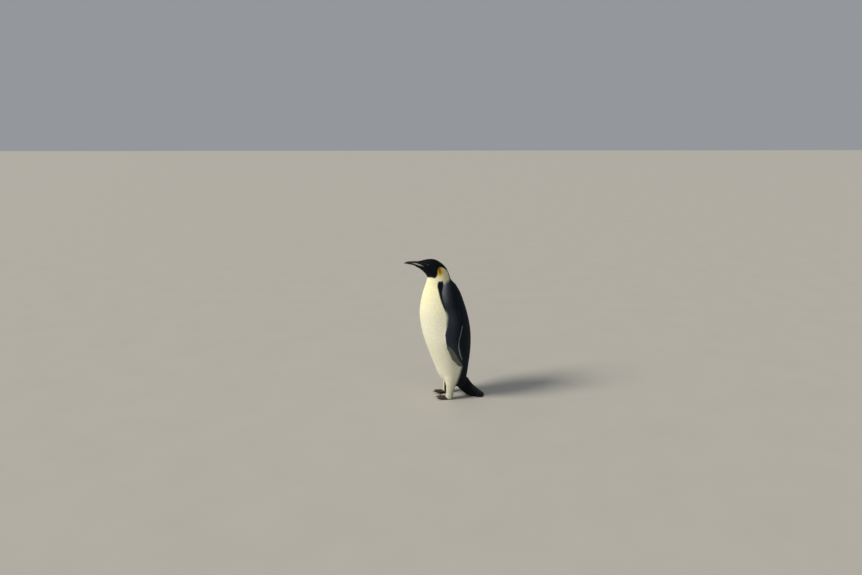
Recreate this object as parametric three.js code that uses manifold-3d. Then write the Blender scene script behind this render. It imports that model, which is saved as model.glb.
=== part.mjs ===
// Emperor penguin, adult, standing at rest: a still, life-size model in separate solids.
// Millimetres. +Z is up, the bird faces -Y, and its left side is +X.
// The origin is the middle of the footprint of the whole bird, on the floor.
//
// The head, neck and trunk are one smooth body parted by thin cuts. The flippers are let into
// its sides, the legs and tail grow out of it, and the bill and eyes are set into the head.
import * as THREE from "three";
import { mergeVertices } from "three/addons/utils/BufferGeometryUtils.js";
import Module from "manifold-3d";

const wasm = await Module();
wasm.setup();

// ---- Driving dimensions -------------------------------------------------------------------

const GAP = 0.35; // clearance left wherever two solids touch
const NECK_BASE_HEIGHT = 768; // where the neck rises out of the shoulders
const HEAD_CUT = { forward: 62, up: 858, tiltDeg: 16 }; // the parting between neck and head
const EYE = { forward: 122, up: 915.5, radius: 12, proud: 0.8 };
const STANCE = 62; // each foot's distance from the mid plane
const LEFT_FOOT = { side: 1, forward: -7, toeInDeg: 16 };
const RIGHT_FOOT = { side: -1, forward: -15, toeInDeg: -6 };
const HEEL = { rear: 28, rockDeg: 4.5 }; // the feet rock about this point behind the ankle
const CLAW = { length: 25, halfWidth: 4.2, exposed: 14 };
const REACH = 2000; // size of the blocks that part the body and level the soles

// ---- Points, lofts and solids -------------------------------------------------------------

const ACROSS = new THREE.Vector3(1, 0, 0);

/** A point given by how far it is forward, to the bird's left, and up. */
const at = (forward, left, up) => new THREE.Vector3(left, -forward, up);

/** One oval section of a loft: it runs from the rear point to the front point. */
const station = (rear, front, half) => ({ rear, front, half });

/** A section that lies on the mid plane: rear and front are [forward, up]. */
const midStation = (rear, front, half) =>
  station(at(rear[0], 0, rear[1]), at(front[0], 0, front[1]), half);

const centreOf = ({ rear, front }) => rear.clone().add(front).multiplyScalar(0.5);

/** The section at t from 0 to 1 along the stations, on smooth curves through them. */
function sectionAlong(stations) {
  const rear = new THREE.CatmullRomCurve3(stations.map((s) => s.rear));
  const front = new THREE.CatmullRomCurve3(stations.map((s) => s.front));
  const half = new THREE.SplineCurve(stations.map((s, i) => new THREE.Vector2(i, s.half)));
  return (t) => station(rear.getPoint(t), front.getPoint(t), half.getPoint(t).y);
}

/** The sections that round off an end, from just inside the end point to the last section. */
function capSections(end, section, count) {
  const centre = centreOf(section);
  return Array.from({ length: count - 1 }, (_, i) => {
    const angle = ((i + 1) / count) * (Math.PI / 2);
    const shift = end.clone().sub(centre).multiplyScalar(Math.cos(angle));
    const shrink = (p) => p.clone().sub(centre).multiplyScalar(Math.sin(angle)).add(centre).add(shift);
    return station(shrink(section.rear), shrink(section.front), section.half * Math.sin(angle));
  });
}

/** A closed body through the stations, rounded off to an end point at each end. */
function loft({ start, stations, end, around = 16, perSpan = 1, cap = 3 }, grow = 0) {
  const sectionAt = sectionAlong(stations);
  const spans = (stations.length - 1) * perSpan;
  const middle = Array.from({ length: spans + 1 }, (_, i) => sectionAt(i / spans));
  const first = middle[0];
  const last = middle[spans];
  const outward = (tip, section) => tip.clone().sub(centreOf(section)).setLength(grow).add(tip);
  const startTip = outward(start, first);
  const endTip = outward(end, last);
  const sections = [
    ...capSections(start, first, cap),
    ...middle,
    ...capSections(end, last, cap).reverse(),
  ];

  const geometry = new THREE.SphereGeometry(1, around, sections.length + 1);
  const position = geometry.attributes.position;
  const columns = around + 1;
  for (let column = 0; column < columns; column += 1) {
    position.setXYZ(column, ...startTip);
    position.setXYZ((sections.length + 1) * columns + column, ...endTip);
    const angle = (column % around) / around * 2 * Math.PI;
    sections.forEach((section, row) => {
      const depth = section.front.clone().sub(section.rear).multiplyScalar(0.5);
      depth.setLength((depth.length() + grow) * Math.cos(angle));
      const point = centreOf(section).add(depth);
      point.addScaledVector(ACROSS, (section.half + grow) * Math.sin(angle));
      position.setXYZ((row + 1) * columns + column, ...point);
    });
  }
  return solidFrom(geometry);
}

/** The volume a closed mesh holds; it is negative where the faces point inwards. */
function signedVolume(vertices, triangles) {
  const corner = (i) => new THREE.Vector3().fromArray(vertices, triangles[i] * 3);
  let volume = 0;
  for (let i = 0; i < triangles.length; i += 3) {
    volume += corner(i).dot(corner(i + 1).cross(corner(i + 2))) / 6;
  }
  return volume;
}

function solidFrom(geometry) {
  geometry.deleteAttribute("normal");
  geometry.deleteAttribute("uv");
  const merged = mergeVertices(geometry);
  const vertProperties = new Float32Array(merged.attributes.position.array);
  const triVerts = new Uint32Array(merged.index.array);
  if (signedVolume(vertProperties, triVerts) < 0) {
    for (let i = 0; i < triVerts.length; i += 3) {
      [triVerts[i], triVerts[i + 1]] = [triVerts[i + 1], triVerts[i]];
    }
  }
  return new wasm.Manifold(new wasm.Mesh({ numProp: 3, vertProperties, triVerts }));
}

/** What is left of a solid once every tool has been cut out of it. */
const cutBy = (solid, tools) => tools.reduce((rest, tool) => rest.subtract(tool), solid);

/** A huge block whose flat lower face passes through the point, leaning forward by the tilt. */
function blockAbove({ forward, up, tiltDeg }) {
  const box = new THREE.BoxGeometry(REACH, REACH, REACH).translate(0, 0, REACH / 2);
  const lean = new THREE.Matrix4().makeRotationX(THREE.MathUtils.degToRad(tiltDeg));
  const place = new THREE.Matrix4().setPosition(at(forward, 0, up));
  return solidFrom(box.applyMatrix4(lean).applyMatrix4(place));
}

const overFloor = (solid) => solid.intersect(blockAbove({ forward: 0, up: 0, tiltDeg: 0 }));

/** The other side's copy of a point or loft, for the paired parts. */
const mirrored = (solid) => solid.mirror([1, 0, 0]);

// ---- Finishes -----------------------------------------------------------------------------

const FINISHES = {
  blackPlumage: { color: "#161a1f", roughness: 0.75 },
  greyPlumage: { color: "#2a3138", roughness: 0.75 },
  creamPlumage: { color: "#efe9c6", roughness: 0.85 },
  yellowPlumage: { color: "#e6cf7a", roughness: 0.85 },
  footSkin: { color: "#2c241f", roughness: 0.6 },
  claw: { color: "#1a1512", roughness: 0.4 },
  horn: { color: "#1d1918", roughness: 0.35 },
  plate: { color: "#b9a3a6", roughness: 0.4 },
  eye: { color: "#1a0f0a", roughness: 0.08 },
};

const bird = new THREE.Group();

/** Adds the largest body of a solid to the bird as one named mesh with its own material. */
function addPiece(name, solid, finish) {
  const bodies = solid.decompose().sort((a, b) => b.volume() - a.volume());
  const { vertProperties, triVerts } = bodies[0].getMesh();
  const geometry = new THREE.BufferGeometry();
  geometry.setAttribute("position", new THREE.BufferAttribute(vertProperties, 3));
  geometry.setIndex(new THREE.BufferAttribute(triVerts, 1));
  const material = new THREE.MeshStandardMaterial({ ...FINISHES[finish], metalness: 0 });
  const mesh = new THREE.Mesh(geometry, material);
  mesh.name = name;
  bird.add(mesh);
}

// ---- Body: vent, belly and back, shoulders, neck and face ---------------------------------
// Each section runs from the back (or crown) to the belly (or chin), with its half width.

const body = {
  start: at(-79, 0, 70),
  stations: [
    midStation([-114, 80], [-40, 80], 46), // vent
    midStation([-138, 114], [-4, 99], 80), // rump
    midStation([-150, 160], [43, 152], 98), // thighs
    midStation([-158, 225], [72, 225], 116),
    midStation([-169, 320], [109, 320], 134), // belly
    midStation([-172, 410], [141, 410], 143), // widest
    midStation([-164, 500], [163, 500], 141),
    midStation([-144, 590], [174, 590], 131), // breast
    midStation([-120, 665], [166, 665], 117),
    midStation([-96, 728], [152, 728], 98), // shoulders
    midStation([-66, 778], [139, 770], 75),
    midStation([-34, 813], [128, 800], 61.5), // neck
    midStation([-23, 848], [123, 828], 54.5),
    midStation([-2, 889], [130, 845], 50), // nape and throat
    midStation([32, 923.5], [145, 863], 47.5),
    midStation([69, 945], [159, 876.5], 44.5), // crown
    midStation([104, 950.5], [174, 888.5], 38.5), // eyes
    midStation([136, 947], [188, 897.5], 29), // forehead and cheeks
    midStation([163, 941.5], [200, 904.8], 20.5),
    midStation([188, 938.8], [210, 910.6], 11.4), // where the feathers end on the bill
  ],
  end: at(206, 0, 924),
  around: 26,
  perSpan: 2,
};

/** Half the body's width at a place in the side view, found by halving the station range. */
function halfWidthAt(forward, up) {
  const sectionAt = sectionAlong(body.stations);
  const point = at(forward, 0, up);
  let low = 0.5;
  let high = 1;
  for (let i = 0; i < 30; i += 1) {
    const middle = (low + high) / 2;
    const { rear, front } = sectionAt(middle);
    const along = front.clone().sub(rear);
    const ahead = along.clone().cross(point.clone().sub(rear)).x < 0;
    if (ahead) low = middle;
    else high = middle;
  }
  const section = sectionAt(low);
  const depth = section.front.distanceTo(section.rear) / 2;
  const offset = point.distanceTo(centreOf(section)) / depth;
  return section.half * Math.sqrt(Math.max(0, 1 - offset * offset));
}

// ---- Flipper: a flat blade that hangs along the flank, its tip swept back -------------------
// Each row: height, leading edge forward and left, trailing edge forward and left, half thickness.

const flipper = {
  start: at(-22, 99, 670),
  stations: [
    [645, 0, 108, -46, 110, 12],
    [608, 7, 118, -70, 120, 12.5],
    [567, 11, 129, -84, 132, 11],
    [523, 22, 138, -84, 143, 9.5],
    [475, 34, 144, -72, 149, 8],
    [428, 33, 149, -60, 153, 7],
    [385, 26, 151, -56, 155, 6],
    [345, 9, 153, -64, 157, 5],
    [308, -9, 154, -79, 157, 4.2],
    [280, -34, 155, -85, 156, 3.4],
  ].map(([up, leadForward, leadLeft, trailForward, trailLeft, half]) =>
    station(at(trailForward, trailLeft, up), at(leadForward, leadLeft, up), half),
  ),
  end: at(-72, 155, 255),
  around: 14,
};

// ---- Tail: a short stiff fan that reaches the floor behind ----------------------------------

const TAIL_SWING = { rootForward: -100, deg: 10 }; // it is swung a little to the bird's left
const tail = {
  start: at(-84, 0, 125),
  stations: [
    midStation([-122, 150], [-78, 68], 46),
    midStation([-152, 128], [-102, 42], 53),
    midStation([-174, 97], [-136, 14], 56),
    midStation([-200, 63], [-172, -3], 56),
    midStation([-228, 38], [-212, -5], 52),
    midStation([-247, 20], [-240, -5], 45),
  ],
  end: at(-262, 0, 3),
};

/** Swings the tail sideways about its root. */
function swung(solid) {
  const { rootForward, deg } = TAIL_SWING;
  return solid.translate([0, rootForward, 0]).rotate([0, 0, -deg]).translate([0, -rootForward, 0]);
}

// ---- Legs, feet, toes and claws -------------------------------------------------------------
// A foot is laid out pointing straight ahead with its ankle over the origin, then rocked back on
// its heel, as the bird stands to keep its toes off cold ground, turned in and put in its place.

/** The leg's feathers, which hang down over the heel to just above the floor. */
const leg = {
  start: at(-12, 0, 232),
  stations: [
    midStation([-56, 212], [32, 212], 34),
    midStation([-60, 168], [33, 168], 35),
    midStation([-56, 128], [23, 128], 33),
    midStation([-48, 90], [15, 90], 30),
    midStation([-38, 52], [14, 52], 26.5),
    midStation([-34, 24], [17, 24], 25),
    midStation([-33, 9], [15, 9], 24),
  ],
  end: at(-9, 0, 1.5),
  around: 14,
  cap: 2,
};

/** The shank and the broad web under the toes; its lower half is levelled off at the floor. */
const shank = {
  start: at(-28, 0, 2),
  stations: [
    station(at(-24, 0, 13), at(-24, 0, -12), 13),
    station(at(-8, 0, 20), at(-8, 0, -12), 19),
    station(at(13, 0, 16), at(13, 0, -10), 24),
    station(at(34, 0, 7), at(34, 0, -5), 28.5),
    station(at(56, 0, 4.5), at(56, 0, 0), 27),
  ],
  end: at(66, 0, 2),
  around: 12,
  cap: 2,
};

const TOES = {
  inner: { root: [12, -13], length: 51, radius: 8, spreadDeg: -17 },
  middle: { root: [16, 0], length: 60, radius: 8.6, spreadDeg: 0 },
  outer: { root: [12, 13], length: 55, radius: 8.2, spreadDeg: 15 },
  hallux: { root: [-12, -21], length: 17, radius: 5, spreadDeg: -24 },
};

/** A toe along the forward axis from its root: two low swellings over the joints. */
function toeLoft({ length, radius }) {
  const swell = [0.95, 1.05, 0.95, 0.78];
  const stations = swell.map((size, i) => {
    const forward = (i / (swell.length - 1)) * (length - 0.6 * radius);
    const top = radius * size * 1.75 - 2 * (forward / length);
    return station(at(forward, 0, top), at(forward, 0, -2), radius * size);
  });
  const start = at(-radius * 0.8, 0, radius * 0.8);
  return { start, stations, end: at(length, 0, radius * 0.45), around: 8, cap: 2 };
}

/** A curved claw that grows out of the end of a toe and comes down to the floor. */
function clawLoft({ length, radius }) {
  const size = radius / TOES.middle.radius;
  const root = length + (CLAW.exposed - CLAW.length) * size;
  const rise = [0.95, 0.95, 0.62];
  const stations = rise.map((height, i) => {
    const forward = root + (i / rise.length) * CLAW.length * size;
    const thin = 1 - i * 0.22;
    const top = radius * height + CLAW.halfWidth * thin * size;
    return station(at(forward, 0, top), at(forward, 0, top - 2 * CLAW.halfWidth * thin * size),
      CLAW.halfWidth * thin * size);
  });
  return {
    start: at(root - 2, 0, radius * 0.95),
    stations,
    end: at(root + CLAW.length * size, 0, 0.4),
    around: 6,
    cap: 2,
  };
}

/** Turns and places a part of a toe within its foot. */
function onToe(solid, { root, spreadDeg }) {
  return solid.rotate([0, 0, spreadDeg]).translate([root[1], -root[0], 0]);
}

/** Rocks a part of a foot back on the heel, so that the toes rise off the floor. */
const rocked = (solid) =>
  solid.translate([0, -HEEL.rear, 0]).rotate([-HEEL.rockDeg, 0, 0]).translate([0, HEEL.rear, 0]);

/** Turns and places a part of a foot under the bird; the right foot is the left one's mirror. */
function onFoot(solid, { side, forward, toeInDeg }) {
  const turned = (side > 0 ? solid : mirrored(solid)).rotate([0, 0, -toeInDeg]);
  return turned.translate([side * STANCE, -forward, 0]);
}

// ---- Bill -----------------------------------------------------------------------------------
// Each row: forward, upper edge, lower edge, half width.

const billStations = (rows) =>
  rows.map(([forward, top, bottom, half]) => station(at(forward, 0, top), at(forward, 0, bottom), half));

const upperBill = {
  start: at(160, 0, 925),
  stations: billStations([
    [166, 935.5, 916, 10.5],
    [184, 938.2, 923.5, 11],
    [202, 939.2, 928, 10],
    [220, 939.5, 930, 8.6],
    [238, 939.4, 929.4, 7.2],
    [254, 938.2, 927.6, 5.6],
    [266, 934.8, 925.2, 4.2],
  ]),
  end: at(275.8, 0, 925.8),
  around: 10,
};

const lowerBill = {
  start: at(166, 0, 906),
  stations: billStations([
    [172, 921, 898.5, 9],
    [190, 927.5, 903, 9.2],
    [208, 931, 909.8, 8.2],
    [225, 932, 916, 6.6],
    [243, 931, 920, 5],
  ]),
  end: at(262, 0, 926.5),
  around: 10,
  cap: 2,
};

// The long pale plate on the side of the lower bill and cheek, from the gape forward.
// Each row: forward, height of its middle, half its height.
const PLATE_ROWS = [
  [158, 909.6, 2.4],
  [171, 914.9, 3.8],
  [187, 919.6, 4.8],
  [203, 924.4, 4],
  [217, 927.2, 2.4],
];
const PLATE_HALF_THICKNESS = 1.6;

/** How far the plate's middle is from the mid plane: just under the cheek, then the bill. */
const plateLeft = (forward, up) => Math.max(halfWidthAt(forward, up), 9.6 - (forward - 188) * 0.13) - 0.6;

/** How much further out its upper edge is than its middle: it lies back with the cheek and bill. */
const plateLean = (forward) => (190 - forward) * 0.02;

const plate = {
  start: at(150, plateLeft(150, 906.5), 906.5),
  stations: PLATE_ROWS.map(([forward, up, half]) => {
    const left = plateLeft(forward, up);
    return station(at(forward, left - plateLean(forward), up - half),
      at(forward, left + plateLean(forward), up + half), PLATE_HALF_THICKNESS);
  }),
  end: at(229, plateLeft(229, 928.4), 928.4),
  around: 6,
  cap: 2,
};

// ---- Eyes -----------------------------------------------------------------------------------

/** An eyeball sunk in the side of the head, its cornea just clear of the lids. */
function eyeBall(grow = 0) {
  const depth = EYE.radius - EYE.proud;
  const ball = new THREE.SphereGeometry(EYE.radius + grow, 10, 8);
  const centre = at(EYE.forward, halfWidthAt(EYE.forward, EYE.up) - depth, EYE.up);
  return solidFrom(ball.translate(...centre));
}

// ---- Assembly -------------------------------------------------------------------------------

const bothSides = (make) => [make, mirrored(make)];

const bodySolid = loft(body);
const bodyClear = loft(body, GAP);
const overNeckBase = blockAbove({ forward: 0, up: NECK_BASE_HEIGHT, tiltDeg: 0 });
const overNeckBaseClear = blockAbove({ forward: 0, up: NECK_BASE_HEIGHT + GAP, tiltDeg: 0 });
const overHeadCut = blockAbove(HEAD_CUT);
const overHeadCutClear = blockAbove({ ...HEAD_CUT, up: HEAD_CUT.up + GAP });

const faceTools = [
  loft(upperBill, GAP),
  loft(lowerBill, GAP),
  ...bothSides(loft(plate, GAP)),
  ...bothSides(eyeBall(GAP)),
];
addPiece("head", cutBy(bodySolid.intersect(overHeadCutClear), faceTools), "blackPlumage");
addPiece("neck", bodySolid.subtract(overHeadCut).intersect(overNeckBaseClear), "yellowPlumage");

const [leftFlipper, rightFlipper] = bothSides(loft(flipper));
const flipperTools = bothSides(loft(flipper, GAP));
addPiece("trunk", cutBy(bodySolid, [overNeckBase, ...flipperTools]), "creamPlumage");
addPiece("flipper_left", leftFlipper, "greyPlumage");
addPiece("flipper_right", rightFlipper, "greyPlumage");
addPiece("tail", swung(overFloor(loft(tail))).subtract(bodyClear), "blackPlumage");

for (const [sideName, foot] of Object.entries({ left: LEFT_FOOT, right: RIGHT_FOOT })) {
  const toes = Object.values(TOES);
  const clawTools = toes.map((toe) => onToe(loft(clawLoft(toe), GAP), toe));
  const flesh = toes.reduce((all, toe) => all.add(onToe(loft(toeLoft(toe)), toe)), loft(shank));
  const footTools = [loft(shank, GAP), ...toes.map((toe) => onToe(loft(toeLoft(toe), GAP), toe))];
  const legTools = [...footTools, ...clawTools].map((tool) => onFoot(rocked(tool), foot));

  addPiece(`leg_${sideName}`, cutBy(onFoot(loft(leg), foot), [bodyClear, ...legTools]), "creamPlumage");
  const clawless = rocked(cutBy(flesh, clawTools));
  addPiece(`foot_${sideName}`, onFoot(overFloor(clawless), foot), "footSkin");
  for (const [toeName, toe] of Object.entries(TOES)) {
    const claw = onToe(overFloor(loft(clawLoft(toe))), toe);
    addPiece(`claw_${toeName}_${sideName}`, onFoot(rocked(claw), foot), "claw");
  }
}

const plateTools = bothSides(loft(plate, GAP));
addPiece("bill_upper", cutBy(loft(upperBill), plateTools), "horn");
addPiece("bill_lower", cutBy(loft(lowerBill), [loft(upperBill, GAP), ...plateTools]), "horn");
bothSides(loft(plate)).forEach((solid, i) => addPiece(`bill_plate_${["left", "right"][i]}`, solid, "plate"));
bothSides(eyeBall()).forEach((solid, i) => addPiece(`eye_${["left", "right"][i]}`, solid, "eye"));

// The origin goes to the middle of the footprint's box, on the floor.
const box = new THREE.Box3().setFromObject(bird);
const middle = box.getCenter(new THREE.Vector3());
bird.position.set(-middle.x, -middle.y, -box.min.z);
bird.updateMatrixWorld(true);

export default bird;
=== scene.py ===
import math

import bmesh
import bpy
import numpy as np
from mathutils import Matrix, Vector
from mathutils.bvhtree import BVHTree


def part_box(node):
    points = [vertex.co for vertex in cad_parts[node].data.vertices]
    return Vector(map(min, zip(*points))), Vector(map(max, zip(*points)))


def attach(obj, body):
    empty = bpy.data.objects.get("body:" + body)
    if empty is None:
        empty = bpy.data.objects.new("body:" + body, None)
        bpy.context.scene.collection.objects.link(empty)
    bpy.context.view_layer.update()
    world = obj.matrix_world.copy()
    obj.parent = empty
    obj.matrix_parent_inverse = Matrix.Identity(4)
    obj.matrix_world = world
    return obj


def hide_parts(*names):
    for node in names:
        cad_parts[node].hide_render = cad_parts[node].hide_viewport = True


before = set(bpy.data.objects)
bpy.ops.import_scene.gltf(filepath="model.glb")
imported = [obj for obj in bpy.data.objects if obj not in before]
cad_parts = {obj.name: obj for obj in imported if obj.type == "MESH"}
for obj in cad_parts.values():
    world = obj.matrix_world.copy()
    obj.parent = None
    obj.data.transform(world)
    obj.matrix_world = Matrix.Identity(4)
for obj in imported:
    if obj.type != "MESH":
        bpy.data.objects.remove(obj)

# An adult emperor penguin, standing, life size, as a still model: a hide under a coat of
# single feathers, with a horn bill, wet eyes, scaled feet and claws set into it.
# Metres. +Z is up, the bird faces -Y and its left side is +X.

scene = bpy.context.scene
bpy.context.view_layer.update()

# ---- Camera ---------------------------------------------------------------------------------
# A wide lens at a standing person's eye height, looking gently down on the bird's left side.
# The bird is turned twelve degrees towards the viewer, so its breast shows a little.

# The camera, and every outline in the side view, are measured from the ankles.
EYE_AHEAD_OF_ANKLES = 0.122
eye_low, eye_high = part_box("eye_left")
ANKLE_Y = (eye_low.y + eye_high.y) / 2 + EYE_AHEAD_OF_ANKLES

CAMERA_HEIGHT = 1.66
CAMERA_AWAY = 4.1619
CAMERA_ASIDE = 0.0957
bearing = math.radians(78)
look_down = math.radians(12.26)
towards = Vector((-math.sin(bearing), math.cos(bearing), 0))
rightwards = Vector((math.cos(bearing), math.sin(bearing), 0))

lens = bpy.data.cameras.new("camera")
lens.lens = 27
lens.sensor_width = 36
lens.sensor_fit = "HORIZONTAL"
camera = bpy.data.objects.new("camera", lens)
ankles = Vector((0, ANKLE_Y, CAMERA_HEIGHT))
camera.location = ankles - CAMERA_AWAY * towards - CAMERA_ASIDE * rightwards
camera.rotation_euler = (math.radians(90) - look_down, 0, bearing)
scene.collection.objects.link(camera)
scene.camera = camera

# ---- Hide -----------------------------------------------------------------------------------
# The real bird has one unbroken skin from bill to toes. The flesh solids are swollen until the
# cuts between them close, remeshed as one surface, relaxed until no facet shows, and drawn in
# by the depth of the feathers that stand on each part.

SIDES = ("left", "right")
FLESH = (
    "head", "neck", "trunk", "tail",
    "flipper_left", "flipper_right", "leg_left", "leg_right", "foot_left", "foot_right",
)
MANDIBLES = ("bill_upper", "bill_lower")
PLATES = ("bill_plate_left", "bill_plate_right")
EYES = ("eye_left", "eye_right")
TOES = ("inner", "middle", "outer", "hallux")
CLAWS = tuple(f"claw_{toe}_{side}" for toe in TOES for side in SIDES)

CUT_CLOSING = 0.0004
BILL_ROOT_END = 0.188
BILL_RISE = 0.0015
BILL_RISE_REACH = (0.182, 0.200)
HIDE_VOXEL = 0.0027
HIDE_TRIANGLES = 170_000
RELAX_ROUNDS = 110
THIGH_HEIGHT = 0.125
SHOULDER_HEIGHT = 0.575
# Part: how freely the surface relaxes, and the depth of its feathers in metres.
HIDE_PARTS = {
    "head": (0.14, 0.0004),
    "neck": (0.5, 0.0004),
    "trunk": (1.0, 0.0003),
    "tail": (0.12, 0.0012),
    "flipper": (0.06, 0.0008),
    "leg": (0.25, 0.0010),
    "foot": (0.03, 0.0006),
}
PART_NAMES = list(HIDE_PARTS)


def cad_copy(names, swell=0.0, root_only=False):
    """The named solids as one bmesh, each merged and swollen; root_only cuts a bill off short."""
    whole = bmesh.new()
    for name in names:
        solid = bmesh.new()
        solid.from_mesh(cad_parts[name].data)
        bmesh.ops.remove_doubles(solid, verts=solid.verts, dist=1e-5)
        if root_only:
            parts = solid.verts[:] + solid.edges[:] + solid.faces[:]
            plane = (0, ANKLE_Y - BILL_ROOT_END, 0)
            bmesh.ops.bisect_plane(
                solid, geom=parts, plane_co=plane, plane_no=(0, -1, 0), clear_outer=True
            )
            rim = [edge for edge in solid.edges if edge.is_boundary]
            bmesh.ops.holes_fill(solid, edges=rim)
        solid.normal_update()
        for vert in solid.verts:
            vert.co += vert.normal * swell
        mesh = bpy.data.meshes.new("solid")
        solid.to_mesh(mesh)
        solid.free()
        whole.from_mesh(mesh)
        bpy.data.meshes.remove(mesh)
    return whole


def new_object(name, mesh):
    """An object at the origin that shows the mesh."""
    obj = bpy.data.objects.new(name, mesh)
    scene.collection.objects.link(obj)
    return obj


def baked(obj):
    """The object's mesh with its modifiers worked out; the object itself is removed."""
    graph = bpy.context.evaluated_depsgraph_get()
    mesh = bpy.data.meshes.new_from_object(obj.evaluated_get(graph))
    bpy.data.objects.remove(obj)
    return mesh


def remeshed(solids, voxel):
    """One even closed surface around everything in the bmesh."""
    mesh = bpy.data.meshes.new("remeshed")
    solids.to_mesh(mesh)
    solids.free()
    obj = new_object("remeshed", mesh)
    remesh = obj.modifiers.new("voxels", "REMESH")
    remesh.mode = "VOXEL"
    remesh.voxel_size = voxel
    return baked(obj)


def read(items, name, width, kind=float):
    """A numpy table of one property of a mesh's vertices, edges or faces."""
    values = np.empty(len(items) * width, kind)
    items.foreach_get(name, values)
    return values.reshape(-1, width) if width > 1 else values


def relaxed(places, pairs, rounds, freedom):
    """Moves points half-way to their neighbours' mean, or less where they have less freedom."""
    count = len(places)
    ends = np.concatenate((pairs[:, 0], pairs[:, 1]))
    others = np.concatenate((pairs[:, 1], pairs[:, 0]))
    degree = np.bincount(ends, minlength=count)[:, None]
    share = (0.5 * freedom)[:, None]
    for _ in range(rounds):
        total = [np.bincount(ends, places[others, axis], count) for axis in range(3)]
        places = places + share * (np.stack(total, axis=1) / degree - places)
    return places


def averaged(values, pairs, rounds):
    """Spreads a number per point over its neighbours, to soften steps between parts."""
    count = len(values)
    ends = np.concatenate((pairs[:, 0], pairs[:, 1]))
    others = np.concatenate((pairs[:, 1], pairs[:, 0]))
    degree = np.bincount(ends, minlength=count)
    for _ in range(rounds):
        values = 0.5 * values + 0.5 * np.bincount(ends, values[others], count) / degree
    return values


def part_of(places):
    """The index in PART_NAMES of the flesh solid nearest to each point."""
    corners, faces, owner = [], [], []
    for name in FLESH:
        solid = cad_copy([name])
        start = len(corners)
        corners += [vert.co.copy() for vert in solid.verts]
        faces += [[start + vert.index for vert in face.verts] for face in solid.faces]
        owner += [PART_NAMES.index(name.split("_")[0])] * len(solid.faces)
        solid.free()
    tree = BVHTree.FromPolygons(corners, faces)
    return np.array([owner[tree.find_nearest(place)[2]] for place in places])


# Eyes, claws and the bill's root are taken in as well, so that the hide closes round them.
solids = cad_copy(FLESH + EYES + CLAWS, CUT_CLOSING)
bill_roots = cad_copy(MANDIBLES + PLATES, CUT_CLOSING, root_only=True)
roots_mesh = bpy.data.meshes.new("roots")
bill_roots.to_mesh(roots_mesh)
bill_roots.free()
solids.from_mesh(roots_mesh)
hide_mesh = remeshed(solids, HIDE_VOXEL)

places = read(hide_mesh.vertices, "co", 3)
pairs = read(hide_mesh.edges, "vertices", 2, np.int32)
parts = part_of(places)
freedom = np.array([HIDE_PARTS[name][0] for name in PART_NAMES])[parts]
thigh = (parts == PART_NAMES.index("leg")) & (places[:, 2] > THIGH_HEIGHT)
shoulder = (parts == PART_NAMES.index("flipper")) & (places[:, 2] > SHOULDER_HEIGHT)
freedom[thigh | shoulder] = 1
places = relaxed(places, pairs, RELAX_ROUNDS, averaged(freedom, pairs, rounds=10))
hide_mesh.vertices.foreach_set("co", places.ravel())
hide_mesh.update()
depth = np.array([HIDE_PARTS[name][1] for name in PART_NAMES])[parts]
depth = averaged(depth, pairs, rounds=6) + CUT_CLOSING
# Round the bill the hide stands up a little, so that the horn runs in under it.
depth -= np.interp(ANKLE_Y - places[:, 1], BILL_RISE_REACH, (0, BILL_RISE))
places -= read(hide_mesh.vertex_normals, "vector", 3) * depth[:, None]
hide_mesh.vertices.foreach_set("co", places.ravel())
hide_mesh.update()

hide = new_object("hide", hide_mesh)
thin_out = hide.modifiers.new("thin_out", "DECIMATE")
hide_mesh.calc_loop_triangles()
thin_out.ratio = min(1.0, HIDE_TRIANGLES / len(hide_mesh.loop_triangles))
hide_mesh = baked(hide)
hide_mesh.name = "hide"
hide_mesh.polygons.foreach_set("use_smooth", np.ones(len(hide_mesh.polygons), bool))
hide = new_object("hide", hide_mesh)

# ---- Markings and lie of the coat -----------------------------------------------------------
# The pattern is laid out in the side view, as distance ahead of the ankles and height, and is
# the same on both sides. Each outline becomes a number on the hide, which the hide and every
# feather that stands on it read, so a whole feather takes the colour of its root.

places = read(hide_mesh.vertices, "co", 3)
pairs = read(hide_mesh.edges, "vertices", 2, np.int32)
outwards = read(hide_mesh.vertex_normals, "vector", 3)
parts = part_of(places)
ahead = ANKLE_Y - places[:, 1]
left = places[:, 0]
up = places[:, 2]
is_part = {name: parts == i for i, name in enumerate(PART_NAMES)}


def ramp(value, start, end):
    """0 before start and 1 after end, with a smooth rise between."""
    t = np.clip((value - start) / (end - start), 0, 1)
    return t * t * (3 - 2 * t)


def cad_distance(names):
    """For each point of the hide, its distance from the named solids and if it is outside them."""
    solid = cad_copy(names)
    tree = BVHTree.FromBMesh(solid)
    solid.free()
    gaps = np.empty(len(places))
    outside = np.empty(len(places), bool)
    for i, place in enumerate(places):
        nearest, normal, _, gaps[i] = tree.find_nearest(place)
        outside[i] = normal.dot(Vector(place) - nearest) > 0
    return gaps, outside


# The coat lies backwards from the bill over the head, turns down the neck and runs down the
# body and legs; on the flippers it runs to the tip, and on the tail out to its end. A pair of
# heights says where a change begins and where it is complete.
HEAD_LIE = (0.80, 0.93)
LEG_LEAN = (0.20, 0.10)
LEG_LEANS_BACK = 0.45
FLIPPER_SWEEP = (0.42, 0.28)
FLIPPER_SWEEPS_BACK = 0.55
TOES_LIE = (0.0, -0.8, -0.6)
TAIL_SWING = math.radians(10)
TAIL_ROOT_Y = ANKLE_Y + 0.100
TAIL_OUT = 0.76
TAIL_DOWN = 0.65
bill_low, bill_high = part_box("bill_upper")
limb = is_part["flipper"]
on_foot = is_part["foot"]
tail_share = averaged(is_part["tail"].astype(float), pairs, rounds=8)
from_bill = places - np.array((0, bill_low.y, (bill_low.z + bill_high.z) / 2))
from_bill /= np.linalg.norm(from_bill, axis=1)[:, None]
downwards = np.array((0.0, 0.0, -1.0))
backwards = np.array((0.0, 1.0, 0.0))
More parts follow.
